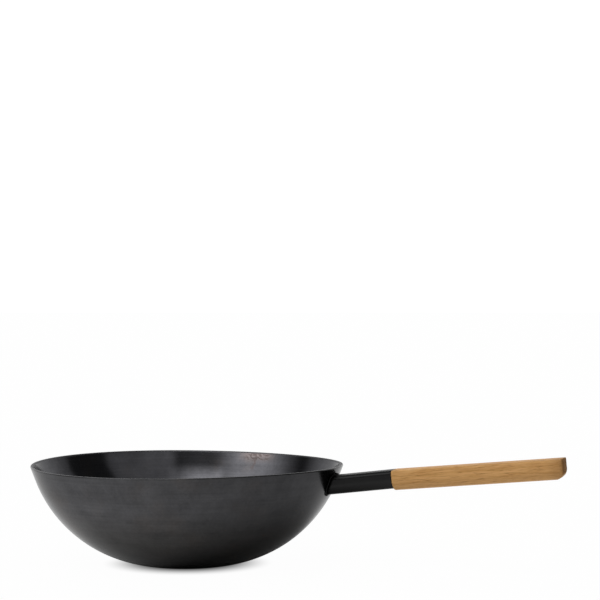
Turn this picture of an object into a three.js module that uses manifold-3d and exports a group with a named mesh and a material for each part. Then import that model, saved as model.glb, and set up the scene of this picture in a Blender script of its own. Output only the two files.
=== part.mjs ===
// A flat-bottomed wok: a spun steel bowl, a tubular steel neck welded to its wall, and an oak grip.
// Millimetres, +Z up. The origin is the centre of the flat base, on the surface that the wok stands on,
// and the handle points along +X.

import * as THREE from "three";
import { mergeVertices } from "three/addons/utils/BufferGeometryUtils.js";
import Module from "manifold-3d";

const { degToRad } = THREE.MathUtils;

// Bowl. The wall is one arc from the base up to a straight flare under the rim.
const RIM_RADIUS = 165; // outside, before the edges of the rim are rounded
const BOWL_HEIGHT = 105;
const BASE_RADIUS = 45; // where base and wall would meet without their soft corner
const BASE_CORNER_RADIUS = 20;
const FLARE_HEIGHT = 15;
const FLARE_ANGLE = degToRad(69.3); // slope of the flare, and where the arc of the wall ends
const BOWL_WALL = 3;
const RIM_EDGE_RADIUS = 1;

// Line of the handle. Neck and grip are flush on top where they meet, and each has its own rise.
const NECK_REACH = 59.6; // from the rim out to the joint
const JOINT_DROP = 0.3; // from the rim down to the top of the joint
const JOINT_X = RIM_RADIUS + NECK_REACH;
const JOINT_TOP_Z = BOWL_HEIGHT - JOINT_DROP;
const NECK_RISE = degToRad(7);
const GRIP_RISE = degToRad(5.3);

// Sections of the handle: flat top, round top corners, upright sides and a belly of half an ellipse.
const NECK_WIDTH = 28;
const NECK_HEIGHT = 19.2;
const NECK_CORNER_RADIUS = 4;
const NECK_BELLY = 11; // height of the half ellipse
const NECK_WALL = 2;
const GRIP_WIDTH = 29;
const GRIP_HEIGHT = 20.9;
const GRIP_CORNER_RADIUS = 3.5;
const GRIP_BELLY = 11.5;
const NECK_SECTION = {
  width: NECK_WIDTH,
  height: NECK_HEIGHT,
  corner: NECK_CORNER_RADIUS,
  belly: NECK_BELLY,
};
const GRIP_SECTION = {
  width: GRIP_WIDTH,
  height: GRIP_HEIGHT,
  corner: GRIP_CORNER_RADIUS,
  belly: GRIP_BELLY,
};

// Weld bead round the root of the neck.
const WELD_LEG = 1;
const WELD_CROWN = 0.15;

// Grip. Its far end is round below and in plan, and nearly square along the top.
const GRIP_LENGTH = 175.2;
const GRIP_LOWER_END_RADIUS = 11;
const GRIP_UPPER_END_RADIUS = 1.2;
const GRIP_PLAN_END_RADIUS = 6;
const TENON_LENGTH = 14;

// Fixing: a long screw runs through the grip into a plug in the neck.
const PLUG_THICKNESS = 9;
const SCREW_RADIUS = 3;
const SCREW_TIP_LENGTH = 2; // how far the screw stands out of the plug
const SCREW_TIP_CHAMFER = 0.8;
const SCREW_HEAD_RADIUS = 5;
const SCREW_HEAD_HEIGHT = 6;
const SCREW_HEAD_CHAMFER = 0.6;
const SOCKET_RADIUS = 2.9; // across the corners of the hexagon
const SOCKET_DEPTH = 3;
const WASHER_RADIUS = 6;
const WASHER_THICKNESS = 1.2;
const SPRING_WASHER_RADIUS = 5.2;
const SPRING_WASHER_THICKNESS = 1.5;
const SPRING_WASHER_SLIT = degToRad(14);
const PELLET_LENGTH = 6;

// Gap between pieces that touch on the real object.
const FIT_GAP = 0.3;

// Fineness of the facets.
const TURN_STEPS = 80; // round the bowl
const WALL_ARC_STEPS = 11;
const SMALL_ARC_STEPS = 3; // base corner and rim edges
const OUTLINE_STEPS = 6; // each corner of an extruded outline
const ROUND_STEPS = 32; // screws, washers and bores
const WELD_STEPS = 48;
const OVERRUN = 5; // how far a cutter reaches past what it cuts

// Centre line of the screw and its stack, measured along the grip from the joint.
const SCREW_Z = -GRIP_HEIGHT / 2;
const BORE_RADIUS = SCREW_RADIUS + FIT_GAP;
const COUNTERBORE_RADIUS = Math.max(WASHER_RADIUS, SCREW_HEAD_RADIUS) + FIT_GAP;
const PELLET_START = GRIP_LENGTH - PELLET_LENGTH;
const HEAD_TOP = PELLET_START - FIT_GAP;
const HEAD_SEAT = HEAD_TOP - SCREW_HEAD_HEIGHT;
const SPRING_WASHER_START = HEAD_SEAT - FIT_GAP - SPRING_WASHER_THICKNESS;
const WASHER_START = SPRING_WASHER_START - FIT_GAP - WASHER_THICKNESS;
const COUNTERBORE_START = WASHER_START - FIT_GAP;
const PLUG_END = -TENON_LENGTH - FIT_GAP;
const PLUG_START = PLUG_END - PLUG_THICKNESS;
const SCREW_TIP = PLUG_START - SCREW_TIP_LENGTH;

const STEEL_BLUED = new THREE.MeshStandardMaterial({ color: 0x3b3b3d, roughness: 0.35, metalness: 0.9 });
const STEEL_BLACK = new THREE.MeshStandardMaterial({ color: 0x1a1a1b, roughness: 0.42, metalness: 0.3 });
const STEEL_ZINC = new THREE.MeshStandardMaterial({ color: 0x8d9094, roughness: 0.4, metalness: 0.9 });
const OAK = new THREE.MeshStandardMaterial({ color: 0xae8656, roughness: 0.55, metalness: 0 });
const OAK_END = new THREE.MeshStandardMaterial({ color: 0x6b4a28, roughness: 0.65, metalness: 0 });

const wasm = await Module();
wasm.setup();

// A closed geometry as a solid that can be joined and cut.
function solid(geometry) {
  const bare = geometry.clone();
  bare.deleteAttribute("normal");
  bare.deleteAttribute("uv");
  const merged = mergeVertices(bare);
  const vertProperties = merged.attributes.position.array;
  const triVerts = new Uint32Array(merged.index.array);
  return new wasm.Manifold(new wasm.Mesh({ numProp: 3, vertProperties, triVerts }));
}

// The geometry of a solid that has been joined and cut.
function geometryOf(body) {
  const mesh = body.getMesh();
  const geometry = new THREE.BufferGeometry();
  geometry.setAttribute("position", new THREE.BufferAttribute(mesh.vertProperties, 3));
  geometry.setIndex(new THREE.BufferAttribute(mesh.triVerts, 1));
  geometry.computeVertexNormals();
  return geometry;
}

// Points of an arc in the plane of a profile. The angle is the slope of the wall there: 0 at the bottom
// of the circle, a right angle at its outermost point.
function slopeArc(centre, radius, from, to, steps) {
  return Array.from({ length: steps + 1 }, (_, i) => {
    const slope = from + ((to - from) * i) / steps;
    return new THREE.Vector2(centre.x + radius * Math.sin(slope), centre.y - radius * Math.cos(slope));
  });
}

// The arc of the wall touches the flare at its foot and passes through the edge of the base. The soft
// corner is a small circle that touches both the base and that arc.
const flareFoot = new THREE.Vector2(
  RIM_RADIUS - FLARE_HEIGHT / Math.tan(FLARE_ANGLE),
  BOWL_HEIGHT - FLARE_HEIGHT,
);
const inward = new THREE.Vector2(-Math.sin(FLARE_ANGLE), Math.cos(FLARE_ANGLE));
const footToBase = new THREE.Vector2(BASE_RADIUS, 0).sub(flareFoot);
const wallRadius = footToBase.lengthSq() / (2 * footToBase.dot(inward));
const wallCentre = flareFoot.clone().addScaledVector(inward, wallRadius);
const cornerReach = wallRadius - BASE_CORNER_RADIUS;
const cornerSlope = Math.acos((wallCentre.y - BASE_CORNER_RADIUS) / cornerReach);
const cornerCentre = new THREE.Vector2(
  wallCentre.x + cornerReach * Math.sin(cornerSlope),
  BASE_CORNER_RADIUS,
);

// Radius of the flare at the level of the rim, on a face that lies a depth inside the outer face.
function rimRadius(depth) {
  return RIM_RADIUS - depth / Math.sin(FLARE_ANGLE);
}

// Profile of one face of the wall, a depth inside the outer face, from the base to the foot of the flare.
function wallFace(depth) {
  const corner = slopeArc(cornerCentre, BASE_CORNER_RADIUS - depth, 0, cornerSlope, SMALL_ARC_STEPS);
  const wall = slopeArc(wallCentre, wallRadius - depth, cornerSlope, FLARE_ANGLE, WALL_ARC_STEPS);
  return [...corner, ...wall.slice(1)];
}

// Radius of the outer face at a height, grown by a clearance.
function outerRadiusAt(height, clearance) {
  if (height > flareFoot.y - clearance * inward.y) {
    return rimRadius(-clearance) - (BOWL_HEIGHT - height) / Math.tan(FLARE_ANGLE);
  }
  const reach = wallRadius + clearance;
  return wallCentre.x + Math.sqrt(reach ** 2 - (wallCentre.y - height) ** 2);
}

// Rounds the corner of a profile where it turns from one slope to another.
function roundedCorner(corner, slopeIn, slopeOut, radius) {
  const setback = radius * Math.tan((slopeOut - slopeIn) / 2);
  const centre = new THREE.Vector2(
    corner.x - setback * Math.cos(slopeIn) - radius * Math.sin(slopeIn),
    corner.y - setback * Math.sin(slopeIn) + radius * Math.cos(slopeIn),
  );
  return slopeArc(centre, radius, slopeIn, slopeOut, SMALL_ARC_STEPS);
}

// Turns a profile about the vertical axis of the bowl.
function turned(profile) {
  return new THREE.LatheGeometry(profile, TURN_STEPS).rotateX(Math.PI / 2);
}

function bowlGeometry() {
  const outerRim = new THREE.Vector2(rimRadius(0), BOWL_HEIGHT);
  const innerRim = new THREE.Vector2(rimRadius(BOWL_WALL), BOWL_HEIGHT);
  return turned([
    new THREE.Vector2(0, 0),
    ...wallFace(0),
    ...roundedCorner(outerRim, FLARE_ANGLE, Math.PI, RIM_EDGE_RADIUS),
    ...roundedCorner(innerRim, Math.PI, Math.PI + FLARE_ANGLE, RIM_EDGE_RADIUS),
    ...wallFace(BOWL_WALL).reverse(),
    new THREE.Vector2(0, BOWL_WALL),
  ]);
}

// The bowl filled up to its rim and grown by the gap, which cuts the root of the neck to the wall.
function bowlCutter() {
  return turned([
    new THREE.Vector2(0, -FIT_GAP),
    ...wallFace(-FIT_GAP),
    new THREE.Vector2(rimRadius(-FIT_GAP), BOWL_HEIGHT),
    new THREE.Vector2(0, BOWL_HEIGHT),
  ]);
}

// Outline of a handle section, drawn inside it by an inset. Its top lies on y = 0 and x runs across.
function sectionOutline({ width, height, corner, belly }, inset = 0) {
  const half = width / 2 - inset;
  const radius = corner - inset;
  const springLine = belly - height;
  const outline = new THREE.Shape();
  outline.moveTo(half, springLine);
  outline.lineTo(half, -corner);
  outline.absarc(half - radius, -corner, radius, 0, Math.PI / 2);
  outline.lineTo(radius - half, -inset);
  outline.absarc(radius - half, -corner, radius, Math.PI / 2, Math.PI);
  outline.lineTo(-half, springLine);
  outline.absellipse(0, springLine, half, belly - inset, Math.PI, 2 * Math.PI);
  return outline;
}

// An outline extruded along +X, with the outline's x across the handle and its y upwards.
const ALONG_HANDLE = new THREE.Matrix4().makeBasis(
  new THREE.Vector3(0, 1, 0),
  new THREE.Vector3(0, 0, 1),
  new THREE.Vector3(1, 0, 0),
);
function bar(outline, from, to) {
  const settings = { depth: to - from, bevelEnabled: false, curveSegments: OUTLINE_STEPS };
  return new THREE.ExtrudeGeometry(outline, settings).translate(0, 0, from).applyMatrix4(ALONG_HANDLE);
}

// A round bar on the centre line of the screw.
function roundBar(radius, from, to, sides = ROUND_STEPS) {
  const length = to - from;
  const geometry = new THREE.CylinderGeometry(radius, radius, length, sides);
  return geometry.rotateZ(-Math.PI / 2).translate(from + length / 2, 0, SCREW_Z);
}

// Neck and grip each have a frame of their own, which starts at the top of their joint.
function handleFrame(rise) {
  const frame = new THREE.Group();
  frame.position.set(JOINT_X, 0, JOINT_TOP_Z);
  frame.rotation.y = -rise;
  frame.updateMatrix();
  return frame;
}
const neckFrame = handleFrame(NECK_RISE);
const gripFrame = handleFrame(GRIP_RISE);
const partToNeck = neckFrame.matrix.clone().invert();
const gripToNeck = partToNeck.clone().multiply(gripFrame.matrix);
const neckToGrip = gripToNeck.clone().invert();

function neckGeometry() {
  const root = BASE_RADIUS - JOINT_X; // well inside the bowl, whose cutter takes the rest away
  const tube = solid(bar(sectionOutline(NECK_SECTION), root, OVERRUN));
  const bore = solid(bar(sectionOutline(NECK_SECTION, NECK_WALL), root - OVERRUN, 2 * OVERRUN));
  const gripSpace = bar(sectionOutline(GRIP_SECTION, -OVERRUN), -FIT_GAP, 2 * OVERRUN);
  const bowl = bowlCutter().applyMatrix4(partToNeck);
  const end = gripSpace.applyMatrix4(gripToNeck);
  return geometryOf(tube.subtract(bore).subtract(solid(bowl)).subtract(solid(end)));
}

// Where a line along the neck, through a point of its section, meets the outer face of the bowl.
function reachToBowl(across, up) {
  const point = new THREE.Vector3();
  let inside = BASE_RADIUS - JOINT_X;
  let outside = 0;
  while (outside - inside > FIT_GAP / 100) {
    const middle = (inside + outside) / 2;
    point.set(middle, across, up).applyMatrix4(neckFrame.matrix);
    const isOutside = Math.hypot(point.x, point.y) > outerRadiusAt(point.z, FIT_GAP);
    inside = isOutside ? inside : middle;
    outside = isOutside ? middle : outside;
  }
  return outside;
}

// The bead is a closed ring. At each step round the neck its section is a triangle with a bulged face:
// the corner between tube and wall, a toe on the tube, the crown, and a toe on the wall.
function weldGeometry() {
  const onTube = sectionOutline(NECK_SECTION, -FIT_GAP).getSpacedPoints(WELD_STEPS).slice(0, WELD_STEPS);
  const positions = [];
  const index = [];
  onTube.forEach((tubePoint, i) => {
    const before = onTube[(i + WELD_STEPS - 1) % WELD_STEPS];
    const after = onTube[(i + 1) % WELD_STEPS];
    const along = after.clone().sub(before).normalize();
    const wallPoint = tubePoint.clone().add(new THREE.Vector2(along.y, -along.x).multiplyScalar(WELD_LEG));
    const root = new THREE.Vector3(reachToBowl(tubePoint.x, tubePoint.y), tubePoint.x, tubePoint.y);
    const wallToe = new THREE.Vector3(reachToBowl(wallPoint.x, wallPoint.y), wallPoint.x, wallPoint.y);
    const tubeToe = root.clone();
    tubeToe.x += WELD_LEG;
    const middle = tubeToe.clone().add(wallToe).multiplyScalar(0.5);
    const crown = middle.addScaledVector(middle.clone().sub(root).normalize(), WELD_CROWN);
    const ring = [root, tubeToe, crown, wallToe];
    ring.forEach((point, j) => {
      positions.push(...point.toArray());
      const next = (j + 1) % ring.length;
      const here = i * ring.length;
      const there = ((i + 1) % WELD_STEPS) * ring.length;
      index.push(here + j, there + next, there + j, here + j, here + next, there + next);
    });
  });
  const geometry = new THREE.BufferGeometry();
  geometry.setAttribute("position", new THREE.Float32BufferAttribute(positions, 3));
  geometry.setIndex(index);
  geometry.computeVertexNormals();
  return geometry;
}

function plugGeometry() {
  const plate = bar(sectionOutline(NECK_SECTION, NECK_WALL + FIT_GAP), PLUG_START, PLUG_END);
  const hole = roundBar(BORE_RADIUS, SCREW_TIP - OVERRUN, OVERRUN).applyMatrix4(gripToNeck);
  return geometryOf(solid(plate).subtract(solid(hole)));
}

// Outline that rounds the far end of the grip, seen from the side or from above. Away from the round
// corners it stands clear of the grip.
function endOutline(low, high, lowRadius, highRadius) {
  const outline = new THREE.Shape();
  outline.moveTo(-OVERRUN, low - OVERRUN);
  outline.lineTo(GRIP_LENGTH - lowRadius, low - OVERRUN);
  outline.absarc(GRIP_LENGTH - lowRadius, low + lowRadius, lowRadius, -Math.PI / 2, 0);
  outline.absarc(GRIP_LENGTH - highRadius, high - highRadius, highRadius, 0, Math.PI / 2);
  outline.lineTo(GRIP_LENGTH - highRadius, high + OVERRUN);
  outline.lineTo(-OVERRUN, high + OVERRUN);
  return outline;
}

// The grip as a blank, before it is bored.
function gripBlank() {
  const halfWidth = GRIP_WIDTH / 2;
  const depth = GRIP_HEIGHT + 2 * OVERRUN;
  const breadth = GRIP_WIDTH + 2 * OVERRUN;
  const sideOutline = endOutline(-GRIP_HEIGHT, 0, GRIP_LOWER_END_RADIUS, GRIP_UPPER_END_RADIUS);
  const planOutline = endOutline(-halfWidth, halfWidth, GRIP_PLAN_END_RADIUS, GRIP_PLAN_END_RADIUS);
  const settings = { bevelEnabled: false, curveSegments: OUTLINE_STEPS };
  const side = new THREE.ExtrudeGeometry(sideOutline, { ...settings, depth: breadth });
  side.rotateX(Math.PI / 2).translate(0, breadth / 2, 0);
  const plan = new THREE.ExtrudeGeometry(planOutline, { ...settings, depth });
  plan.translate(0, 0, OVERRUN - depth);
  const body = solid(bar(sectionOutline(GRIP_SECTION), 0, GRIP_LENGTH + OVERRUN));
  return body.intersect(solid(side)).intersect(solid(plan));
}

function gripGeometry() {
  const tenonOutline = sectionOutline(NECK_SECTION, NECK_WALL + FIT_GAP);
  const tenon = bar(tenonOutline, -TENON_LENGTH, OVERRUN).applyMatrix4(neckToGrip);
  const bore = roundBar(BORE_RADIUS, -TENON_LENGTH - OVERRUN, GRIP_LENGTH);
  const counterbore = roundBar(COUNTERBORE_RADIUS, COUNTERBORE_START, GRIP_LENGTH + OVERRUN);
  const whole = gripBlank().add(solid(tenon));
  return geometryOf(whole.subtract(solid(bore)).subtract(solid(counterbore)));
}

function pelletGeometry() {
  const plug = roundBar(COUNTERBORE_RADIUS - FIT_GAP, PELLET_START, GRIP_LENGTH + OVERRUN);
  return geometryOf(gripBlank().intersect(solid(plug)));
}

function screwGeometry() {
  const headEdge = HEAD_TOP - SCREW_HEAD_CHAMFER;
  const profile = [
    new THREE.Vector2(0, SCREW_TIP),
    new THREE.Vector2(SCREW_RADIUS - SCREW_TIP_CHAMFER, SCREW_TIP),
    new THREE.Vector2(SCREW_RADIUS, SCREW_TIP + SCREW_TIP_CHAMFER),
    new THREE.Vector2(SCREW_RADIUS, HEAD_SEAT),
    new THREE.Vector2(SCREW_HEAD_RADIUS, HEAD_SEAT),
    new THREE.Vector2(SCREW_HEAD_RADIUS, headEdge),
    new THREE.Vector2(SCREW_HEAD_RADIUS - SCREW_HEAD_CHAMFER, HEAD_TOP),
    new THREE.Vector2(0, HEAD_TOP),
  ];
  const blank = new THREE.LatheGeometry(profile, ROUND_STEPS);
  blank.rotateZ(-Math.PI / 2).translate(0, 0, SCREW_Z);
  const hexagonSides = 6;
  const socket = roundBar(SOCKET_RADIUS, HEAD_TOP - SOCKET_DEPTH, HEAD_TOP + OVERRUN, hexagonSides);
  return geometryOf(solid(blank).subtract(solid(socket)));
}

// A ring on the screw, open by a slit where it is sprung.
function ringGeometry(radius, start, thickness, slit = 0) {
  const outline = new THREE.Shape();
  outline.absarc(0, 0, radius, slit / 2, 2 * Math.PI - slit / 2);
  if (slit > 0) {
    outline.absarc(0, 0, BORE_RADIUS, 2 * Math.PI - slit / 2, slit / 2, true);
  } else {
    outline.holes.push(new THREE.Path().absarc(0, 0, BORE_RADIUS, 0, 2 * Math.PI, true));
  }
  const settings = { depth: thickness, bevelEnabled: false, curveSegments: ROUND_STEPS };
  const ring = new THREE.ExtrudeGeometry(outline, settings).translate(0, 0, start);
  return ring.applyMatrix4(ALONG_HANDLE).translate(0, 0, SCREW_Z);
}

function piece(name, geometry, material) {
  const mesh = new THREE.Mesh(geometry, material);
  mesh.name = name;
  return mesh;
}

neckFrame.add(
  piece("handle_neck", neckGeometry(), STEEL_BLACK),
  piece("neck_weld", weldGeometry(), STEEL_BLACK),
  piece("neck_plug", plugGeometry(), STEEL_ZINC),
);
gripFrame.add(
  piece("grip", gripGeometry(), OAK),
  piece("draw_screw", screwGeometry(), STEEL_ZINC),
  piece("plain_washer", ringGeometry(WASHER_RADIUS, WASHER_START, WASHER_THICKNESS), STEEL_ZINC),
  piece(
    "spring_washer",
    ringGeometry(SPRING_WASHER_RADIUS, SPRING_WASHER_START, SPRING_WASHER_THICKNESS, SPRING_WASHER_SLIT),
    STEEL_ZINC,
  ),
  piece("grip_pellet", pelletGeometry(), OAK_END),
);

const wok = new THREE.Group();
wok.add(piece("bowl", bowlGeometry(), STEEL_BLUED), neckFrame, gripFrame);

export default wok;
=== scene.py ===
# %% [markdown]
# # A steel wok with an oak grip
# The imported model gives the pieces, their places and their sizes. This script dresses them: it makes the
# smooth skin of the bowl, the neck, the weld and the grip, gives every piece its finish, and sets up a
# plain pale studio with a camera. Everything is in metres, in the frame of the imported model: the origin is
# the centre of the flat base, +Z is up and the handle points along +X.

# %% Load the frame
import math

import bpy
import numpy as np
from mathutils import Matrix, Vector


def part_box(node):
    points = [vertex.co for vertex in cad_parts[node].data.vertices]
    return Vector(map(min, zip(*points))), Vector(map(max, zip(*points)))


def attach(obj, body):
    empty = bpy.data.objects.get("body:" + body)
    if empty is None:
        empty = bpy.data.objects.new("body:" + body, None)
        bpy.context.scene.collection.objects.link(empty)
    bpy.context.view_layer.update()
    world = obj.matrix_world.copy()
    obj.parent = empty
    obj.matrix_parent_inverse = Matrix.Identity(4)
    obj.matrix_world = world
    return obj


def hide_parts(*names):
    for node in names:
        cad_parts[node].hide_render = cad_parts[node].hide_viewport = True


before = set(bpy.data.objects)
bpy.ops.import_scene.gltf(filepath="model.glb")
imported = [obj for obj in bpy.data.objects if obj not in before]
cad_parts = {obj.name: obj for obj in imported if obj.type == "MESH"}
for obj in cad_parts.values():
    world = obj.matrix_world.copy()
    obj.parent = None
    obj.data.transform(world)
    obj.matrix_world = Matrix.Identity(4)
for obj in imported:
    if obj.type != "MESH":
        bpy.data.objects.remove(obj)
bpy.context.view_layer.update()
print("nodes:", sorted(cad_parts))

# %% [markdown]
# ## From a grid of points to a mesh
# Every new piece here is a stack of rings: each row of a grid is a closed ring of points, and neighbouring
# rows are joined by four-sided faces. A piece is closed in one of two ways. A stack may end in two poles,
# as a turned bowl does at the middle of its base, or its last ring may join its first, as on a tube with a
# wall. One could model these by hand with extrusions, but a grid keeps each shape a formula.

# %% A mesh from rings
def ring_piece(name, rings, poles=None, attributes=None):
    """A closed mesh from rings, an array of rows, columns and 3 coordinates.

    Columns run round each ring and wrap. Rows are joined in order. With poles, two points, the first and
    the last ring close on them. Without poles the last ring joins the first. Attributes hold one number
    for each point of the grid, with two more for the poles.
    """
    rows, columns, _ = rings.shape
    index = np.arange(rows * columns).reshape(rows, columns)
    beside = np.roll(index, -1, axis=1)
    if poles is None:
        above = np.roll(index, -1, axis=0)
        above_beside = np.roll(beside, -1, axis=0)
        faces = np.stack([index, beside, above_beside, above], axis=-1).reshape(-1, 4).tolist()
        points = rings.reshape(-1, 3)
    else:
        faces = np.stack([index[:-1], beside[:-1], beside[1:], index[1:]], axis=-1).reshape(-1, 4).tolist()
        first = np.full(columns, rows * columns)
        last = first + 1
        faces += np.stack([beside[0], index[0], first], axis=-1).tolist()
        faces += np.stack([index[-1], beside[-1], last], axis=-1).tolist()
        points = np.concatenate([rings.reshape(-1, 3), np.array(poles)])
    mesh = bpy.data.meshes.new(name)
    mesh.from_pydata(points, [], faces)
    for label, values in (attributes or {}).items():
        layer = mesh.attributes.new(label, "FLOAT", "POINT")
        layer.data.foreach_set("value", np.asarray(values, np.float32).ravel())
    mesh.shade_smooth()
    mesh.validate()
    piece = bpy.data.objects.new(name, mesh)
    bpy.context.scene.collection.objects.link(piece)
    print(f"{name}: {len(mesh.vertices)} points, {len(mesh.polygons)} faces")
    return piece


def dressed(piece, node, material):
    """Lets a finished piece stand for its node, ride on the part and carry a finish."""
    piece.data.materials.append(material)
    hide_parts(node)
    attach(piece, "root")
    return piece


# %% [markdown]
# ## Shader maths as plain expressions
# A finish is a network of nodes. Written out node by node it is hard to read, so a small class wraps an
# output socket: adding or multiplying two wrapped sockets adds a Math node, and one method makes any other
# node from its type, its settings and its inputs.

# %% Wires between nodes
class Wire:
    """An output socket of a node tree. Arithmetic on wires adds Math nodes to the tree."""

    def __init__(self, tree, socket=None):
        self.tree = tree
        self.socket = socket

    def node(self, kind, settings=None, inputs=None, output=0):
        """Adds a node with its settings, and with values or wires for its inputs. Wraps one output."""
        made = self.tree.nodes.new(kind)
        for name, value in (settings or {}).items():
            setattr(made, name, value)
        for key, value in (inputs or {}).items():
            if isinstance(value, Wire):
                self.tree.links.new(value.socket, made.inputs[key])
            else:
                made.inputs[key].default_value = value
        return Wire(self.tree, made.outputs[output])

    def math(self, operation, *values):
        """Adds a Math node on wires and plain numbers."""
        return self.node("ShaderNodeMath", {"operation": operation}, dict(enumerate(values)))

    def __add__(self, other):
        return self.math("ADD", self, other)

    __radd__ = __add__

    def __sub__(self, other):
        return self.math("SUBTRACT", self, other)

    def __rsub__(self, other):
        return self.math("SUBTRACT", other, self)

    def __mul__(self, other):
        return self.math("MULTIPLY", self, other)

    __rmul__ = __mul__

    def __abs__(self):
        return self.math("ABSOLUTE", self)


def ease(value, low, high):
    """0 below low, 1 above high, with a smooth step between. Low may be above high."""
    inputs = {"Value": value, "From Min": low, "From Max": high}
    return value.node("ShaderNodeMapRange", {"interpolation_type": "SMOOTHSTEP"}, inputs)


# Where a Mix node keeps its factor, its two colours and the mixed colour.
MIX_FACTOR = 0
MIX_UNDER = 6
MIX_OVER = 7
MIX_RESULT = 2


def mixed(mask, under, over):
    """The colour over where mask is 1, and the colour under where it is 0."""
    inputs = {MIX_FACTOR: mask, MIX_UNDER: under, MIX_OVER: over}
    return mask.node("ShaderNodeMix", {"data_type": "RGBA"}, inputs, MIX_RESULT)


def shaded(colour, level):
    """A colour multiplied by a level."""
    settings = {"data_type": "RGBA", "blend_type": "MULTIPLY"}
    inputs = {MIX_FACTOR: 1.0, MIX_UNDER: colour, MIX_OVER: level}
    return colour.node("ShaderNodeMix", settings, inputs, MIX_RESULT)


def cloud(vector, scale, detail=3.0, roughness=0.5):
    """Soft noise from 0 to 1, about scale patches to a metre of the vector."""
    inputs = {"Vector": vector, "Scale": scale, "Detail": detail, "Roughness": roughness}
    return vector.node("ShaderNodeTexNoise", {"normalize": True}, inputs)


def stretched(axes, scales, detail=3.0, roughness=0.5):
    """Soft noise with its own number of patches to a metre along each of three axes."""
    scaled = [axis * scale for axis, scale in zip(axes, scales)]
    vector = scaled[0].node("ShaderNodeCombineXYZ", None, dict(enumerate(scaled)))
    return cloud(vector, 1.0, detail, roughness)


def bumped(place, height, strength, distance):
    """A surface direction that follows small heights, for the Normal input of a shader."""
    inputs = {"Strength": strength, "Distance": distance, "Height": height}
    return place.node("ShaderNodeBump", None, inputs)


def grey(level):
    """A neutral colour."""
    return (level, level, level, 1.0)


def finish(name):
    """A new material. Returns it, its surface shader and a wire to start from."""
    material = bpy.data.materials.new(name)
    material.use_nodes = True
    tree = material.node_tree
    shader = tree.nodes["Principled BSDF"]
    return material, shader, Wire(tree)


def feed(start, shader, **inputs):
    """Links wires to the named inputs of a shader, with _ for a space, and sets plain values there."""
    for key, value in inputs.items():
        socket = shader.inputs[key.replace("_", " ")]
        if isinstance(value, Wire):
            start.tree.links.new(value.socket, socket)
        else:
            socket.default_value = value


def axes_of(vector):
    """Wires for the three coordinates of a vector."""
    return [vector.node("ShaderNodeSeparateXYZ", None, {0: vector}, output=i) for i in range(3)]


def place_of(start):
    """A wire for the object coordinates of a point."""
    return start.node("ShaderNodeTexCoord", output="Object")


# %% [markdown]
# ## The bowl
# The real bowl is one disc of carbon steel, spun over a former and pressed flat under the base. In Blender
# one could spin an edge loop or use the Screw modifier. A formula is exact: the profile is a flat base, a
# soft corner, one long arc that ends in a straight flare, a rim with rounded edges, and the same line back
# on the inside. Turning each profile point round the axis gives a ring.

# %% Sizes of the bowl
MM = 0.001
RIM_RADIUS = 165 * MM
BOWL_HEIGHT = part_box("bowl")[1].z
BASE_RADIUS = 45 * MM
BASE_CORNER_RADIUS = 20 * MM
FLARE_HEIGHT = 15 * MM
FLARE_ANGLE = math.radians(69.3)
BOWL_WALL = 3 * MM
RIM_EDGE_RADIUS = 1 * MM
FIT_GAP = 0.3 * MM

foot = np.array([RIM_RADIUS - FLARE_HEIGHT / math.tan(FLARE_ANGLE), BOWL_HEIGHT - FLARE_HEIGHT])
inward = np.array([-math.sin(FLARE_ANGLE), math.cos(FLARE_ANGLE)])
foot_to_base = np.array([BASE_RADIUS, 0]) - foot
WALL_RADIUS = foot_to_base @ foot_to_base / (2 * foot_to_base @ inward)
WALL_CENTRE = foot + WALL_RADIUS * inward
corner_reach = WALL_RADIUS - BASE_CORNER_RADIUS
CORNER_SLOPE = math.acos((WALL_CENTRE[1] - BASE_CORNER_RADIUS) / corner_reach)
CORNER_CENTRE = np.array([WALL_CENTRE[0] + corner_reach * math.sin(CORNER_SLOPE), BASE_CORNER_RADIUS])
print(f"wall arc of {WALL_RADIUS / MM:.1f} mm, base corner turns {math.degrees(CORNER_SLOPE):.1f} degrees")


# %% Profile of the bowl
def slope_arc(centre, radius, start, end, steps):
    """Points of a circle by the slope of its tangent, which is 0 at the circle's lowest point.

    Radius is the centre's plus radius times the sine, height the centre's less radius times the cosine.
    """
    slope = np.linspace(start, end, steps)
    return np.stack([centre[0] + radius * np.sin(slope), centre[1] - radius * np.cos(slope)], axis=-1)


def rim_corner(radius_there, slope_in, slope_out, steps=10):
    """A rounded edge of the rim: a small circle that touches the profile before and after its corner."""
    setback = RIM_EDGE_RADIUS * math.tan((slope_out - slope_in) / 2)
    along = np.array([math.cos(slope_in), math.sin(slope_in)])
    left = np.array([-math.sin(slope_in), math.cos(slope_in)])
    corner = np.array([radius_there, BOWL_HEIGHT])
    centre = corner - setback * along + RIM_EDGE_RADIUS * left
    return slope_arc(centre, RIM_EDGE_RADIUS, slope_in, slope_out, steps)


def wall_face(depth):
    """One face of the wall, a depth inside the outer face: rings of the base, its corner and the arc."""
    base = np.linspace([0.0, depth], [CORNER_CENTRE[0], depth], 26)[1:-1]
    corner = slope_arc(CORNER_CENTRE, BASE_CORNER_RADIUS - depth, 0, CORNER_SLOPE, 8)
    wall = slope_arc(WALL_CENTRE, WALL_RADIUS - depth, CORNER_SLOPE, FLARE_ANGLE, 64)[1:]
    return np.concatenate([base, corner, wall])


def bowl_profile():
    """Radius and height from the middle of the base, up the outside, over the rim and down the inside."""
    outside = wall_face(0)
    inside = wall_face(BOWL_WALL)[::-1]
    outer_edge = rim_corner(RIM_RADIUS, FLARE_ANGLE, math.pi)
    inner_edge = rim_corner(RIM_RADIUS - BOWL_WALL / math.sin(FLARE_ANGLE), math.pi, math.pi + FLARE_ANGLE)
    outer_flare = np.linspace(outside[-1], outer_edge[0], 10)[1:-1]
    inner_flare = np.linspace(inner_edge[-1], inside[0], 10)[1:-1]
    return np.concatenate([outside, outer_flare, outer_edge, inner_edge, inner_flare, inside])


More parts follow.
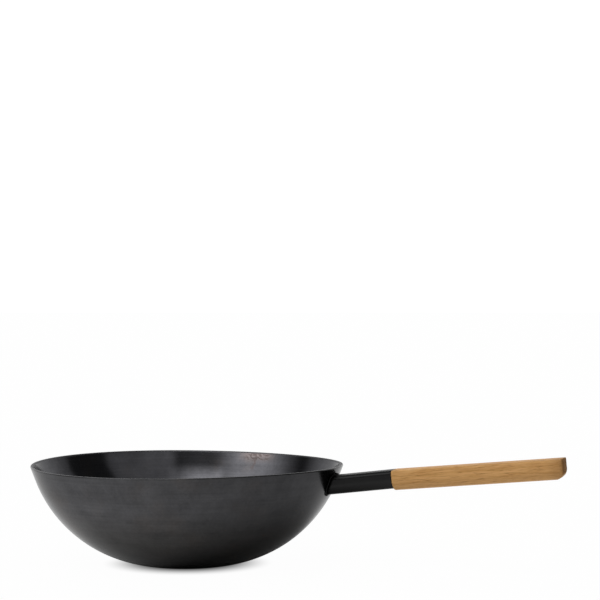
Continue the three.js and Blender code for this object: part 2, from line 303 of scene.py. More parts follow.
# %% [markdown]
# A spun bowl is never quite true. The weld on one side pulls at the rim, and in the photograph its near and
# far edges lean opposite ways: the rim has a slow wave, two crests and two hollows of about a millimetre.
# The wave fades towards the base, which stays flat.

# %% Rings of the bowl
TURN_STEPS = 288
RIM_WAVE = 1.15 * MM
RIM_WAVE_TURN = math.radians(103.7)

profile = bowl_profile()
turn = np.linspace(0, 2 * math.pi, TURN_STEPS, endpoint=False)
height_share = profile[:, 1:] / BOWL_HEIGHT
bowl_rings = np.stack(
    [
        profile[:, :1] * np.cos(turn),
        profile[:, :1] * np.sin(turn),
        profile[:, 1:] + RIM_WAVE * height_share**2 * np.sin(2 * (turn - RIM_WAVE_TURN)),
    ],
    axis=-1,
)
print("bowl of", len(profile), "rings, with a wave of", RIM_WAVE / MM, "mm in its rim")

# %% [markdown]
# The finish of the bowl needs to know where it is on the surface: how far along the profile, because the
# turning marks run round the bowl like the grooves of a record, and whether it is inside or outside. Both
# follow from the distance along the profile, so each point carries that distance as an attribute.

# %% Distance along the profile
steps_along = np.linalg.norm(np.diff(profile, axis=0), axis=1)
run = np.concatenate([[0], np.cumsum(steps_along)]) + np.linalg.norm(profile[0])
BOWL_RUN = run[-1] + np.linalg.norm(profile[-1] - [0, BOWL_WALL])
RIM_RUN = run[np.argmax(profile[:, 1] > BOWL_HEIGHT - 0.01 * MM)] + BOWL_WALL / 2
run_of_points = np.concatenate([np.repeat(run, TURN_STEPS), [0, BOWL_RUN]])
bowl_poles = [(0, 0, 0), (0, 0, BOWL_WALL)]
bowl = ring_piece("wok_bowl", bowl_rings, poles=bowl_poles, attributes={"run": run_of_points})
print(f"profile is {BOWL_RUN / MM:.0f} mm long, with the rim at {RIM_RUN / MM:.0f} mm")

# %% [markdown]
# ## The line of the handle
# Neck and grip are two straight bars that meet at a joint and are flush on top there. Each has its own
# small rise, so each is built in its own slanted frame, with x along the bar, y across it and z up from
# its top face. One function carries such points into the frame of the part.

# %% Frames of the neck and the grip
NECK_REACH = 59.6 * MM
JOINT_DROP = 0.3 * MM
JOINT = np.array([RIM_RADIUS + NECK_REACH, 0, BOWL_HEIGHT - JOINT_DROP])
NECK_RISE = math.radians(7)
GRIP_RISE = math.radians(5.3)
print("neck and grip meet at", np.round(JOINT / MM, 1), "mm")


def on_handle(rise, along, across, up):
    """Points of a slanted bar: the joint plus along times its axis, across times Y, up times its normal."""
    x = JOINT[0] + along * math.cos(rise) - up * math.sin(rise)
    z = JOINT[2] + along * math.sin(rise) + up * math.cos(rise)
    return np.stack(np.broadcast_arrays(x, JOINT[1] + across, z), axis=-1)


# %% Section of the neck and the grip
RING_STEPS = 192
NECK = {"width": 28 * MM, "height": 19.2 * MM, "corner": 4 * MM, "belly": 11 * MM}
GRIP = {"width": 29 * MM, "height": 20.9 * MM, "corner": 3.5 * MM, "belly": 11.5 * MM}
NECK_WALL = 2 * MM


def section(size, inset=0.0, steps=RING_STEPS):
    """Points round a bar: flat top, round top corners, upright sides and half an ellipse below.

    The outline is drawn finely from its three curves and then sampled at even steps of its length. Across
    is the first coordinate, up the second, and the top lies at 0 before the inset.
    """
    half = size["width"] / 2 - inset
    radius = size["corner"] - inset
    spring = size["belly"] - size["height"]
    quarter = np.linspace(0, math.pi / 2, 40)
    lower = np.linspace(math.pi, 2 * math.pi, 160)
    corner = radius * np.stack([np.cos(quarter), np.sin(quarter)], -1)
    right = corner + [half - radius, -size["corner"]]
    left = right[::-1] * [-1, 1]
    below = np.stack([half * np.cos(lower), spring + (size["belly"] - inset) * np.sin(lower)], -1)
    outline = np.concatenate([right, left, below, right[:1]])
    length = np.concatenate([[0], np.cumsum(np.linalg.norm(np.diff(outline, axis=0), axis=1))])
    even = np.linspace(0, length[-1], steps, endpoint=False)
    return np.stack([np.interp(even, length, outline[:, axis]) for axis in (0, 1)], axis=-1)


def outward_normals(outline):
    """Unit normals of a closed outline that runs anticlockwise, from the points before and after each."""
    along = np.roll(outline, -1, axis=0) - np.roll(outline, 1, axis=0)
    normal = np.stack([along[:, 1], -along[:, 0]], axis=-1)
    return normal / np.linalg.norm(normal, axis=1, keepdims=True)


# %% [markdown]
# ## The neck
# The neck is a flat-sided steel tube. Its root is cut like the mouth of a fish so that it lies against the
# curved wall all round. A Boolean modifier could cut it, but it would leave long thin faces. Instead each
# line along the tube is followed inwards until it meets the wall, by halving the interval, for all lines
# at once.

# %% Where the neck meets the wall
def outer_radius_at(height, clearance):
    """Radius of the bowl's outer face at a height: a straight flare above, the arc of the wall below."""
    flare = RIM_RADIUS + clearance / math.sin(FLARE_ANGLE) - (BOWL_HEIGHT - height) / math.tan(FLARE_ANGLE)
    reach = WALL_RADIUS + clearance
    arc = WALL_CENTRE[0] + np.sqrt(reach**2 - np.minimum(WALL_CENTRE[1] - height, reach) ** 2)
    return np.where(height > foot[1] - clearance * inward[1], flare, arc)


def reach_to_wall(outline, clearance=FIT_GAP):
    """How far along the neck, for each point of an outline, its line meets the bowl."""
    inner = np.full(len(outline), BASE_RADIUS - JOINT[0])
    outer = np.zeros(len(outline))
    for _ in range(40):
        middle = (inner + outer) / 2
        x, y, z = on_handle(NECK_RISE, middle, outline[:, 0], outline[:, 1]).T
        beyond = np.hypot(x, y) > outer_radius_at(z, clearance)
        inner = np.where(beyond, inner, middle)
        outer = np.where(beyond, middle, outer)
    return outer


def face_of_grip(outline, gap):
    """How far along the neck its end lies, on a plane that is parallel to the face of the grip."""
    lean = NECK_RISE - GRIP_RISE
    return outline[:, 1] * math.tan(lean) - gap


# %% Skin of the neck
NECK_EDGE_RADIUS = 0.5 * MM
ROWS_ALONG_NECK = 16


def neck_face(inset):
    """Rows of one face of the tube, from its root at the wall to just before its rounded end."""
    outline = section(NECK, inset)
    root = reach_to_wall(outline)
    end = face_of_grip(outline, FIT_GAP + NECK_EDGE_RADIUS)
    share = np.linspace(0, 1, ROWS_ALONG_NECK)[:, None]
    return on_handle(NECK_RISE, root + share * (end - root), outline[:, 0], outline[:, 1])


def neck_end():
    """The rim of the tube: a quarter circle over the outer edge and one over the inner edge."""
    turn_in = np.linspace(0, math.pi / 2, 6)[1:]
    insets = NECK_EDGE_RADIUS * (1 - np.cos(turn_in))
    insets = np.concatenate([insets, NECK_WALL - insets[::-1]])
    gaps = FIT_GAP + NECK_EDGE_RADIUS * (1 - np.sin(turn_in))
    gaps = np.concatenate([gaps, gaps[::-1]])
    rows = []
    for inset, gap in zip(insets, gaps):
        outline = section(NECK, inset)
        rows.append(on_handle(NECK_RISE, face_of_grip(outline, gap), outline[:, 0], outline[:, 1]))
    return np.array(rows)


neck_rings = np.concatenate([neck_face(0), neck_end(), neck_face(NECK_WALL)[::-1]])
neck = ring_piece("wok_neck", neck_rings[:, ::-1])

# %% [markdown]
# ## The weld
# A fillet of weld metal fills the corner between tube and wall. Its section is a triangle with a slightly
# bulged face, with one toe on the tube and one on the wall. Carried round the root it gives a closed ring.
# A hand-laid bead has faint ripples, one for each pulse of the welder, which here are a small wave along
# the ring.

# %% Bead round the root
WELD_LEG = 1.0 * MM
WELD_CROWN = 0.15 * MM
RIPPLE_HEIGHT = 0.05 * MM
RIPPLE_COUNT = 64
FACE_STEPS = 12

on_tube = section(NECK, -FIT_GAP, steps=4 * RING_STEPS)
away = outward_normals(on_tube)
on_wall = on_tube + WELD_LEG * away
root = np.column_stack([reach_to_wall(on_tube), on_tube])
wall_toe = np.column_stack([reach_to_wall(on_wall), on_wall])
tube_toe = root + [WELD_LEG, 0, 0]
share = np.linspace(0, 1, FACE_STEPS)[:, None, None]
flat_face = tube_toe + share * (wall_toe - tube_toe)
bulge_way = (tube_toe + wall_toe) / 2 - root
bulge_way = bulge_way / np.linalg.norm(bulge_way, axis=1, keepdims=True)
ripple = RIPPLE_HEIGHT * np.sin(np.linspace(0, 2 * math.pi * RIPPLE_COUNT, len(on_tube), endpoint=False))
bulge = (WELD_CROWN + ripple)[:, None] * np.sin(math.pi * share)
bead_rows = np.concatenate([root[None], flat_face + bulge * bulge_way])
weld = ring_piece("wok_neck_weld", on_handle(NECK_RISE, *np.moveaxis(bead_rows, -1, 0))[:, ::-1])

# %% [markdown]
# ## The grip
# The grip is sawn from one piece of oak: flat on top, round below, with its far end rounded over from the
# side and in plan. It has a tenon in the neck, and a bore for the long screw, which widens at the far end.
# The body is the section carried along the grip. The far end is a height field: how far the wood reaches
# along the grip at each place of the section, which falls away towards the lower edge and the sides like
# quarter circles.

# %% Far end of the grip
GRIP_LENGTH = 175.2 * MM
LOWER_END_RADIUS = 11 * MM
UPPER_END_RADIUS = 1.2 * MM
PLAN_END_RADIUS = 6 * MM
END_BLEND = 3.0


def quarter_drop(beyond, radius):
    """How far a quarter circle has dropped, a distance beyond the line where it starts."""
    clear = np.clip(beyond, 0, radius)
    return radius - np.sqrt(radius**2 - clear**2)


def end_of_grip(across, up):
    """How far the grip reaches at a place of its section: its length, less the three round-overs.

    The drops are summed as a power mean, so that the round-overs run softly into each other.
    """
    below = quarter_drop(LOWER_END_RADIUS - GRIP["height"] - up, LOWER_END_RADIUS)
    above = quarter_drop(up + UPPER_END_RADIUS, UPPER_END_RADIUS)
    beside = quarter_drop(np.abs(across) - GRIP["width"] / 2 + PLAN_END_RADIUS, PLAN_END_RADIUS)
    return GRIP_LENGTH - (below**END_BLEND + above**END_BLEND + beside**END_BLEND) ** (1 / END_BLEND)


# %% Sizes inside the grip
SCREW_UP = -GRIP["height"] / 2
BORE_RADIUS = 3.3 * MM
COUNTERBORE_RADIUS = 6.3 * MM
COUNTERBORE_START = GRIP_LENGTH - 15.9 * MM
TENON_LENGTH = 14 * MM
FRONT_EDGE_RADIUS = 0.7 * MM
ROWS_ALONG_GRIP = 48
ROWS_ON_END = 26


def circle_like(outline, radius):
    """Points of a circle round the screw, each in the direction of its point of the outline."""
    angle = np.arctan2(outline[:, 1] - SCREW_UP, outline[:, 0])
    return np.stack([radius * np.cos(angle), SCREW_UP + radius * np.sin(angle)], axis=-1)


def grip_row(outline, along):
    """One ring of the grip: an outline of its section, a distance along the grip."""
    return on_handle(GRIP_RISE, along, outline[:, 0], outline[:, 1])


# %% Rings of the grip
full = section(GRIP)
tenon = section(NECK, NECK_WALL + FIT_GAP)
bore = circle_like(full, BORE_RADIUS)
mouth = circle_like(full, COUNTERBORE_RADIUS)

turn_over = np.linspace(0, math.pi / 2, 7)
front_insets = FRONT_EDGE_RADIUS * (1 - np.sin(turn_over))
front_along = FRONT_EDGE_RADIUS * (1 - np.cos(turn_over))
front_rows = [grip_row(section(GRIP, inset), along) for inset, along in zip(front_insets, front_along)]
body_share = np.linspace(0, 1, ROWS_ALONG_GRIP)[1:, None]
body_end = end_of_grip(full[:, 0], full[:, 1])
body_along = FRONT_EDGE_RADIUS + body_share * (body_end - FRONT_EDGE_RADIUS)
body_rows = on_handle(GRIP_RISE, body_along, full[:, 0], full[:, 1])
end_share = (1 - np.cos(np.linspace(0, math.pi / 2, ROWS_ON_END)))[1:, None, None]
end_outline = full + end_share * (mouth - full)
end_along = end_of_grip(end_outline[..., 0], end_outline[..., 1])
end_rows = on_handle(GRIP_RISE, end_along, end_outline[..., 0], end_outline[..., 1])
inner_rows = [
    grip_row(mouth, COUNTERBORE_START),
    grip_row(bore, COUNTERBORE_START),
    grip_row(bore, -TENON_LENGTH),
    grip_row(tenon, -TENON_LENGTH),
    grip_row(tenon, 0.0),
]
grip_rings = np.concatenate([front_rows, body_rows, end_rows, inner_rows])
grip = ring_piece("wok_grip", grip_rings[:, ::-1])

# %% [markdown]
# ## The pellet
# An oak pellet closes the mouth of the bore and is sanded flush with the end. Its face follows the same
# height field as the grip, so the two meet without a step, and a fine dark line shows round it.

# %% Pellet in the end of the grip
PELLET_RADIUS = COUNTERBORE_RADIUS - 0.15 * MM
PELLET_START = GRIP_LENGTH - 6 * MM
PELLET_EDGE = 0.12 * MM
disc_share = np.linspace(1, 0, 14)[:-1, None, None]
edge_circle = circle_like(full, PELLET_RADIUS)
middle_of_end = np.array([0.0, SCREW_UP])
disc = middle_of_end + disc_share * (edge_circle - middle_of_end)
disc_along = end_of_grip(disc[..., 0], disc[..., 1])
disc_rows = on_handle(GRIP_RISE, disc_along, disc[..., 0], disc[..., 1])
side_rows = [grip_row(edge_circle, PELLET_START), grip_row(edge_circle, disc_along[0] - PELLET_EDGE)]
pellet_poles = [
    on_handle(GRIP_RISE, PELLET_START, 0.0, SCREW_UP),
    on_handle(GRIP_RISE, end_of_grip(0.0, SCREW_UP), 0.0, SCREW_UP),
]
pellet = ring_piece("wok_grip_pellet", np.concatenate([side_rows, disc_rows])[:, ::-1], poles=pellet_poles)

# %% [markdown]
# ## Heat stain
# The first heating has left a stain inside, under the rim on the far side: a pale film that hangs from the
# rim, and in it brown veins with one long run. It could be painted on an image, but then the bowl would
# need a flat layout. Masks from the object's own coordinates need none: one coordinate runs along the rim,
# the other down from it.

# %% Masks of the heat stain
STAIN_ALONG = (0.988, -0.154)
STAIN_SHIFT = 3 * MM
STAIN_WANDER = 12 * MM
STAIN_MIDDLE = 4 * MM
STAIN_PATCHES = 150.0
STAIN_LINES = (130.0, 1.0, 260.0)
VEIN_SHARE = 0.8
RUN_SHARE = 0.6


def heat_stain(place, x, y, z):
    """Masks of the film and of the veins, each 1 where it is full.

    The film and the veins fade with the distance aside of the stain's middle and below the rim. A vein
    lies where a stretched noise is near its mean. The run is a narrow band that wanders downwards.
    """
    across = x * STAIN_ALONG[0] + y * STAIN_ALONG[1] + STAIN_SHIFT
    below = BOWL_HEIGHT - z
    aside = across + STAIN_WANDER * (cloud(place, STAIN_PATCHES, detail=2.0) - 0.5)
    edge = abs(aside - STAIN_MIDDLE)
    film = ease(edge, 29 * MM, 10 * MM) * ease(below, 14 * MM, 1 * MM)
    lines = stretched((across, 0.0, below), STAIN_LINES, detail=2.0) - 0.5
    vein = ease(abs(lines), 0.07, 0.01) * ease(edge, 20 * MM, 9 * MM) * ease(below, 13 * MM, 7 * MM)
    run = ease(abs(aside), 2.4 * MM, 0.6 * MM) * ease(below, 26 * MM, 12 * MM)
    veins = vein.math("MAXIMUM", vein * VEIN_SHARE, run * RUN_SHARE)
    far_side = ease(y, 0.0, 50 * MM)
    return film * far_side, veins * far_side


# %% [markdown]
# ## Blued steel
# The bowl is carbon steel with a dark blue-grey oxide skin and a film of oil. It is a dark mirror: little
# light comes straight back, and much more at a glancing angle, which is what a metallic surface with a
# dark base colour does. The specular tint holds that shine back a little. Over the steel lie faint marks
# that run round the bowl, clouds and specks in the oxide, patches where the oil has browned, the stain,
# and a ground rim that is duller than the rest. Outside, the colour is also darker towards the neck and
# towards the base: this is painted shade, which stands for the shadow of the bowl on the floor as the
# outside mirrors it.

# %% Finish of the bowl
STEEL_OUTSIDE = (0.064, 0.064, 0.067, 1.0)
STEEL_BELOW = (0.0665, 0.0640, 0.0625, 1.0)
STEEL_INSIDE = (0.057, 0.057, 0.062, 1.0)
OIL_BROWN = (0.060, 0.052, 0.047, 1.0)
STAIN_PALE = (0.120, 0.102, 0.100, 1.0)
STAIN_BROWN = (0.046, 0.035, 0.033, 1.0)
RIM_GROUND = (0.075, 0.075, 0.078, 1.0)
RIM_SHARE = 0.7
FINE_MARKS = (9.0, 9.0, 420.0)
BROAD_MARKS = (5.0, 5.0, 90.0)
OIL_PATCHES = 17.0
OIL_SHARE = 0.55
OXIDE_CLOUDS = 48.0
OXIDE_SPECKS = 330.0
STEEL_EDGE_TINT = 0.72


def blued_steel():
    """Colours of the two sides, the oil, the stain and the rim, times marks, clouds and painted shade."""
    material, shader, start = finish("blued_steel")
    place = place_of(start)
    x, y, z = axes_of(place)
    along = start.node("ShaderNodeAttribute", {"attribute_name": "run"}, output="Fac")
    marks = stretched((x, y, along), FINE_MARKS, roughness=0.6)
    broad_marks = stretched((x, y, along), BROAD_MARKS, detail=2.0)
    patches = cloud(place, OIL_PATCHES, detail=4.0, roughness=0.55)
    clouds = cloud(place, OXIDE_CLOUDS, roughness=0.6)
    specks = cloud(place, OXIDE_SPECKS, roughness=0.7)
    inside = ease(along, RIM_RUN - 1 * MM, RIM_RUN + 1 * MM)
    rim = ease(abs(along - RIM_RUN), 2.2 * MM, 1.2 * MM)

    outer = mixed(ease(z, 75 * MM, 25 * MM), STEEL_OUTSIDE, STEEL_BELOW)
    steel = mixed(inside, outer, STEEL_INSIDE)
    oiled = mixed(ease(patches, 0.50, 0.74) * OIL_SHARE, steel, OIL_BROWN)
    film, veins = heat_stain(place, x, y, z)
    stained = mixed(film * inside, oiled, STAIN_PALE)
    stained = mixed(veins * inside, stained, STAIN_BROWN)
    base = mixed(rim * RIM_SHARE, stained, RIM_GROUND)

    # Painted shade: outside, darker towards the neck and the base, for the floor shadow that the steel
    # mirrors.
    shade_towards_neck = 1.03 - 0.50 * ease(x, -60 * MM, 170 * MM)
    shade_towards_base = 0.62 + 0.38 * ease(z, 0.0, 75 * MM)
    painted_outside_shade = 1.0 - (1.0 - shade_towards_neck * shade_towards_base) * (1.0 - inside)
    cloudy = 0.60 * patches + 0.66 * clouds + 0.46 * specks - 0.23
    shade = (cloudy + 0.46 * marks + 0.28 * broad_marks) * painted_outside_shade
    rough = (0.14 + 0.05 * marks + 0.06 * patches) * (1.0 - 0.3 * inside) + 0.25 * rim
    bump = bumped(place, marks * 0.6 + broad_marks * 0.4, 0.05, 0.4 * MM)
    feed(start, shader, Base_Color=shaded(base, shade), Roughness=rough, Normal=bump)
    feed(start, shader, Metallic=1.0, Specular_Tint=grey(STEEL_EDGE_TINT))
    return material


# %% [markdown]
# ## Black satin steel
# The neck is blackened and waxed. It is not a mirror and not matt: a soft highlight along the top, and a
# slight orange-peel texture that breaks it up. Like the bowl it is a metallic surface with a dark base
# colour, and its tint holds the glancing shine back even more.

# %% Finish of the neck
NECK_DARK = 0.019
NECK_PALE = 0.024
NECK_EDGE_TINT = 0.5


def black_satin():
    """A dark metal that varies a little with soft noise, with a fine bump."""
    material, shader, start = finish("black_satin")
    place = place_of(start)
    grain = cloud(place, 900.0, detail=2.0)
    haze = cloud(place, 60.0)
    base = mixed(haze, grey(NECK_DARK), grey(NECK_PALE))
    bump = bumped(place, grain, 0.10, 0.1 * MM)
    feed(start, shader, Base_Color=base, Roughness=0.33 + 0.08 * haze, Normal=bump)
    feed(start, shader, Metallic=1.0, Specular_Tint=grey(NECK_EDGE_TINT))
    return material


# %% [markdown]
# The weld is a matt near-black with hardly any shine, a painted shade that keeps the corner between neck and
# wall dark. The finish of the neck would do on a ground weld, but here it would show as a bright line.

# %% Finish of the weld
WELD_SHADE_DARK = 0.004
WELD_SHADE_PALE = 0.010


def weld_painted_shade():
    """A matt black of painted shade that varies a little with fine noise, which also makes its bump."""
    material, shader, start = finish("weld_painted_shade")
    place = place_of(start)
    scale = cloud(place, 400.0)
    base = mixed(scale, grey(WELD_SHADE_DARK), grey(WELD_SHADE_PALE))
    bump = bumped(place, scale, 0.20, 0.1 * MM)
    feed(start, shader, Base_Color=base, Roughness=0.82 + 0.12 * scale, Normal=bump)
    feed(start, shader, Specular_IOR_Level=0.08)
    return material


# %% [markdown]
# ## Oiled oak
# Oak shows three things along its grain: broad bands and streaks of early and late wood, fine dark pores a
# few millimetres long, and pale flecks of ray tissue across them. All are noise that is stretched along
# the grip, so the pattern is turned by the rise of the grip first. Towards the end the wood is darker, as
# painted shade where the grip rounds away from the light. The end itself is cut across the fibres, drinks
# more oil, and is darker still: end grain, with painted shade on top for a face turned from the light.

# %% Finish of the grip
OAK_PALE = (0.680, 0.386, 0.153, 1.0)
OAK_DEEP = (0.555, 0.291, 0.098, 1.0)
OAK_PORE = (0.205, 0.092, 0.026, 1.0)
OAK_FLECK = (0.710, 0.450, 0.210, 1.0)
OAK_END_GRAIN_AND_SHADE = (0.205, 0.104, 0.036, 1.0)
END_GRAIN_LENGTH = 2.6 * MM
OAK_WANDER = (5.0, 30.0, 30.0)
OAK_BANDS = (3.0, 60.0, 230.0)
BAND_SHIFT_ACROSS = 50 * MM
BAND_SHIFT_UP = 21.74 * MM
OAK_STREAKS = (42.0, 480.0, 620.0)
OAK_FIBRES = (60.0, 1500.0, 1500.0)
OAK_PORES = (120.0, 2600.0, 2600.0)
OAK_FLECKS = (70.0, 900.0, 330.0)


def oiled_oak(name, end_share):
    """Two-tone bands and streaks, then flecks, pores, painted end shade and darkened end grain over them."""
    material, shader, start = finish(name)
    place = place_of(start)
    inputs = {"Vector": place, "Location": JOINT, "Rotation": (0.0, -GRIP_RISE, 0.0)}
    axes = axes_of(start.node("ShaderNodeMapping", {"vector_type": "TEXTURE"}, inputs))
    x, y, z = axes
    wander = stretched(axes, OAK_WANDER, detail=2.0)
    bent = (x, y + BAND_SHIFT_ACROSS * wander, z + BAND_SHIFT_UP * wander)
    bands = stretched(bent, OAK_BANDS)
    streaks = stretched(axes, OAK_STREAKS, roughness=0.65)
    fibres = stretched(axes, OAK_FIBRES, detail=2.0, roughness=0.6)
    pores = stretched(axes, OAK_PORES, detail=1.0)
    flecks = stretched(axes, OAK_FLECKS, detail=1.0)

    wood = mixed(ease(bands * 0.35 + streaks * 0.65, 0.36, 0.64), OAK_DEEP, OAK_PALE)
    wood = mixed(ease(flecks, 0.66, 0.76) * 0.35, wood, OAK_FLECK)
    pore_mask = ease(pores, 0.56, 0.70) * ease(streaks, 0.62, 0.40)
    wood = mixed(pore_mask * 0.75 + ease(fibres, 0.55, 0.80) * 0.25, wood, OAK_PORE)
    # Painted shade: the wood darkens towards the end, where the grip rounds away from the light.
    painted_end_shade = ease(x, 110 * MM, GRIP_LENGTH) * 0.12 + ease(x, 155 * MM, GRIP_LENGTH) * 0.34
    wood = mixed(painted_end_shade, wood, OAK_PORE)
    # The end face takes the colour of end grain, darkened further as painted shade.
    end = ease(x, GRIP_LENGTH - END_GRAIN_LENGTH, GRIP_LENGTH - 0.1 * END_GRAIN_LENGTH)
    wood = mixed(end * end_share, wood, OAK_END_GRAIN_AND_SHADE)
    rough = (0.52 + 0.16 * pores) * (1.0 - end) + end
    bump = bumped(place, fibres * 0.5 - pore_mask, 0.18, 0.15 * MM)
    feed(start, shader, Base_Color=wood, Roughness=rough, Normal=bump, Specular_IOR_Level=0.12)
    return material


# %% [markdown]
# ## Zinc plate
# The screw, its washers and the plug sit inside the handle. They are plated steel: pale grey and a little
# cloudy. A plain colour would do for pieces that never show, but two shades of noise cost one line more.

# %% Finish of the fixings
ZINC_DARK = (0.30, 0.31, 0.33, 1.0)
ZINC_PALE = (0.46, 0.47, 0.48, 1.0)


def zinc_plate():
    """A pale metal with soft clouds in its colour and its shine."""
    material, shader, start = finish("zinc_plate")
    cloudy = cloud(place_of(start), 260.0)
    base = mixed(cloudy, ZINC_DARK, ZINC_PALE)
    feed(start, shader, Base_Color=base, Roughness=0.28 + 0.18 * cloudy, Metallic=1.0)
    return material


# %% [markdown]
# ## Dress the pieces
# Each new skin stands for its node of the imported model, rides on the part and takes its finish. The four
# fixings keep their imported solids, because nothing of them shows, and only take the zinc finish.

# %% Dress every piece
dressed(bowl, "bowl", blued_steel())
dressed(neck, "handle_neck", black_satin())
dressed(weld, "neck_weld", weld_painted_shade())
dressed(grip, "grip", oiled_oak("oiled_oak", end_share=0.95))
dressed(pellet, "grip_pellet", oiled_oak("oiled_oak_pellet", end_share=0.85))
plated = zinc_plate()
for node in ("neck_plug", "draw_screw", "plain_washer", "spring_washer"):
    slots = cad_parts[node].data.materials
    slots.clear()
    slots.append(plated)

# %% [markdown]
# ## Camera
# The photograph is taken from far off and nearly level: the camera looks straight ahead, a little above
# the rim, so the wok lies low in the frame. A long lens from nearly two metres keeps the lines of
# the handle almost parallel. The camera is turned a little, which brings the handle towards the viewer.

# %% Camera
CAMERA_DISTANCE = 1.8934
CAMERA_HEIGHT = 0.2778
CAMERA_TURN = math.radians(17)
BOWL_OFFSET = -0.1189
FOCAL_PIXELS = 1790
IMAGE_WIDTH = 600
SENSOR_WIDTH = 36.0

ahead = np.array([-math.sin(CAMERA_TURN), math.cos(CAMERA_TURN), 0.0])
rightward = np.array([math.cos(CAMERA_TURN), math.sin(CAMERA_TURN), 0.0])
upward = np.array([0.0, 0.0, 1.0])
camera_place = -CAMERA_DISTANCE * ahead - BOWL_OFFSET * rightward + CAMERA_HEIGHT * upward
camera_data = bpy.data.cameras.new("camera")
camera_data.sensor_width = SENSOR_WIDTH
camera_data.lens = SENSOR_WIDTH * FOCAL_PIXELS / IMAGE_WIDTH
camera_data.clip_end = 200.0
camera = bpy.data.objects.new("camera", camera_data)
camera.location = camera_place
camera.rotation_euler = (math.pi / 2, 0.0, CAMERA_TURN)
bpy.context.scene.collection.objects.link(camera)
bpy.context.scene.camera = camera
print("camera at", np.round(camera_place, 3), "lens", round(camera_data.lens, 1))

# %% [markdown]
# ## Floor
# The wok stands on a wide pale disc. A plane would do as well, but rings that grow outwards give small
# faces near the wok and large ones far away. It is wide enough to fill the view up to the horizon.

# %% Floor
FLOOR_RADII = np.geomspace(0.5, 40.0, 24)
floor_turn = np.linspace(0, 2 * math.pi, 96, endpoint=False)
floor_rings = np.stack(
    [
        np.outer(FLOOR_RADII, np.cos(floor_turn)),
        np.outer(FLOOR_RADII, np.sin(floor_turn)),
        np.zeros((len(FLOOR_RADII), len(floor_turn))),
    ],
    axis=-1,
)
floor_index = np.arange(floor_rings[..., 0].size).reshape(floor_rings.shape[:2])
floor_beside = np.roll(floor_index, -1, axis=1)
floor_quads = np.stack([floor_index[:-1], floor_index[1:], floor_beside[1:], floor_beside[:-1]], -1)
floor_faces = [floor_index[0].tolist(), *floor_quads.reshape(-1, 4).tolist()]
floor_mesh = bpy.data.meshes.new("studio_floor")
floor_mesh.from_pydata(floor_rings.reshape(-1, 3), [], floor_faces)
floor = bpy.data.objects.new("studio_floor", floor_mesh)
bpy.context.scene.collection.objects.link(floor)
print("floor of", FLOOR_RADII[-1], "m")

# %% [markdown]
# The photograph is cut out on white. The floor is pale paper that takes the shadow of the wok. A little
# away from the wok it runs over into plain white, for the camera and for mirror and glass rays too, so
# that the steel shows a white floor. In the steel the shaded paper reaches further than in the view,
# because the underside of the bowl looks at it from close by.

# %% Paper of the floor
PAPER = 0.80
WHITE_SHARE = 0.98
SEEN_REACH = (0.034, 0.092)
MIRRORED_REACH = (0.088, 0.230)
MIRRORED_PLACE = 0.046 * rightward + 0.015 * ahead
RAY_KINDS = ("Camera", "Glossy", "Transmission")


def studio_paper():
    """Lit paper near the wok and white further out, by the kind of ray that meets it."""
    material, shader, start = finish("studio_paper")
    feed(start, shader, Base_Color=grey(PAPER), Roughness=1.0, Specular_IOR_Level=0.0)
    place = place_of(start)
    camera_ray, mirror_ray, glass_ray = [
        start.node("ShaderNodeLightPath", output=f"Is {kind} Ray") for kind in RAY_KINDS
    ]
    straight = start.node("ShaderNodeVectorMath", {"operation": "LENGTH"}, {0: place}, output="Value")
    inputs = {0: place, 1: MIRRORED_PLACE}
    mirrored = start.node("ShaderNodeVectorMath", {"operation": "DISTANCE"}, inputs, output="Value")
    seen_white = ease(straight, *SEEN_REACH) * camera_ray
    mirrored_white = ease(mirrored, *MIRRORED_REACH) * (mirror_ray + glass_ray)
    whiteness = (seen_white + mirrored_white) * WHITE_SHARE
    white = start.node("ShaderNodeEmission", None, {"Color": grey(1.0), "Strength": 1.0})
    lit = Wire(start.tree, shader.outputs[0])
    both = start.node("ShaderNodeMixShader", None, {0: whiteness, 1: lit, 2: white})
    start.tree.links.new(both.socket, start.tree.nodes["Material Output"].inputs["Surface"])
    return material


floor_mesh.materials.append(studio_paper())
print("floor is white from", SEEN_REACH[1], "m outwards")

# %% [markdown]
# ## Light
# The light is the world itself: a white backdrop behind the wok, a key light at the front left, a weaker
# fill at the right, a tall light in front and a dim room elsewhere. A dark mirror such as this bowl shows
# the room more than its own colour, so the gaps between the lights matter as much as the lights: they make
# the dark bands inside the bowl. Area lamps would do too, but a formula on the direction gives each side
# of a light the softness that it needs.

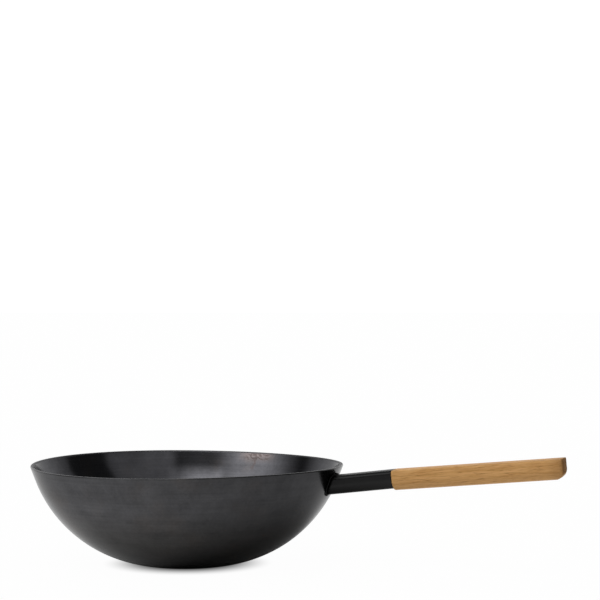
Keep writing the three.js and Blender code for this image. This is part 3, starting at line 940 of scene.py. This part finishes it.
# %% Lights of the studio
# Each side of a light has two angles in degrees: where the light has faded out, and where it is full.
ROOM = 0.085
BACKDROP = {"level": 1.0, "left": (-76, -50), "right": (67, 62), "bottom": (-91, -90), "top": (92, 74)}
KEY = {"level": 2.85, "left": (-164, -132), "right": (-68, -124), "bottom": (16, 32), "top": (62, 44)}
FILL = {"level": 0.80, "left": (101, 107), "right": (169, 159), "bottom": (14, 30), "top": (68, 52)}
FRONT = {"level": 3.6, "left": (-44, 0), "right": (22, 15), "bottom": (33, 53), "top": (84, 72)}
FRONT_TURN = math.radians(192.5)


def step(angle, start, end):
    """0 at the first angle and 1 at the second, in degrees, with a smooth step between."""
    return ease(angle, math.radians(start), math.radians(end))


def graded(share, angle, start, end):
    """A share of the light at the first angle, and all of it at the second."""
    return share + (1 - share) * step(angle, start, end)


def panel(light, around, above):
    """A light with soft sides: its level times a smooth step for each of its four sides."""
    width = step(around, *light["left"]) * step(around, *light["right"])
    height = step(above, *light["bottom"]) * step(above, *light["top"])
    return width * height * light["level"]


# %% World
world = bpy.data.worlds.new("studio")
bpy.context.scene.world = world
world.use_nodes = True
dome = Wire(world.node_tree)
direction = dome.node("ShaderNodeTexCoord", output="Generated")


def share_of(axis):
    """How much of the direction points along an axis."""
    inputs = {0: direction, 1: axis}
    return dome.node("ShaderNodeVectorMath", {"operation": "DOT_PRODUCT"}, inputs, output="Value")


# Angles round the wok, from the backdrop and from the front light to the right, and above the horizon.
front_aim = math.cos(FRONT_TURN) * ahead + math.sin(FRONT_TURN) * rightward
front_side = math.cos(FRONT_TURN) * rightward - math.sin(FRONT_TURN) * ahead
around = dome.math("ARCTAN2", share_of(rightward), share_of(ahead))
around_front = dome.math("ARCTAN2", share_of(front_side), share_of(front_aim))
above = dome.math("ARCSINE", share_of(upward))
backdrop = panel(BACKDROP, around, above) * graded(0.45, around, 61, 42)
fill = panel(FILL, around, above) * graded(0.65, around, 105, 165)
level = ROOM + backdrop + fill + panel(KEY, around, above) + panel(FRONT, around_front, above)
world.node_tree.links.new(level.socket, world.node_tree.nodes["Background"].inputs["Color"])
bpy.context.scene.view_settings.view_transform = "Standard"
print("world of", len(world.node_tree.nodes), "nodes")
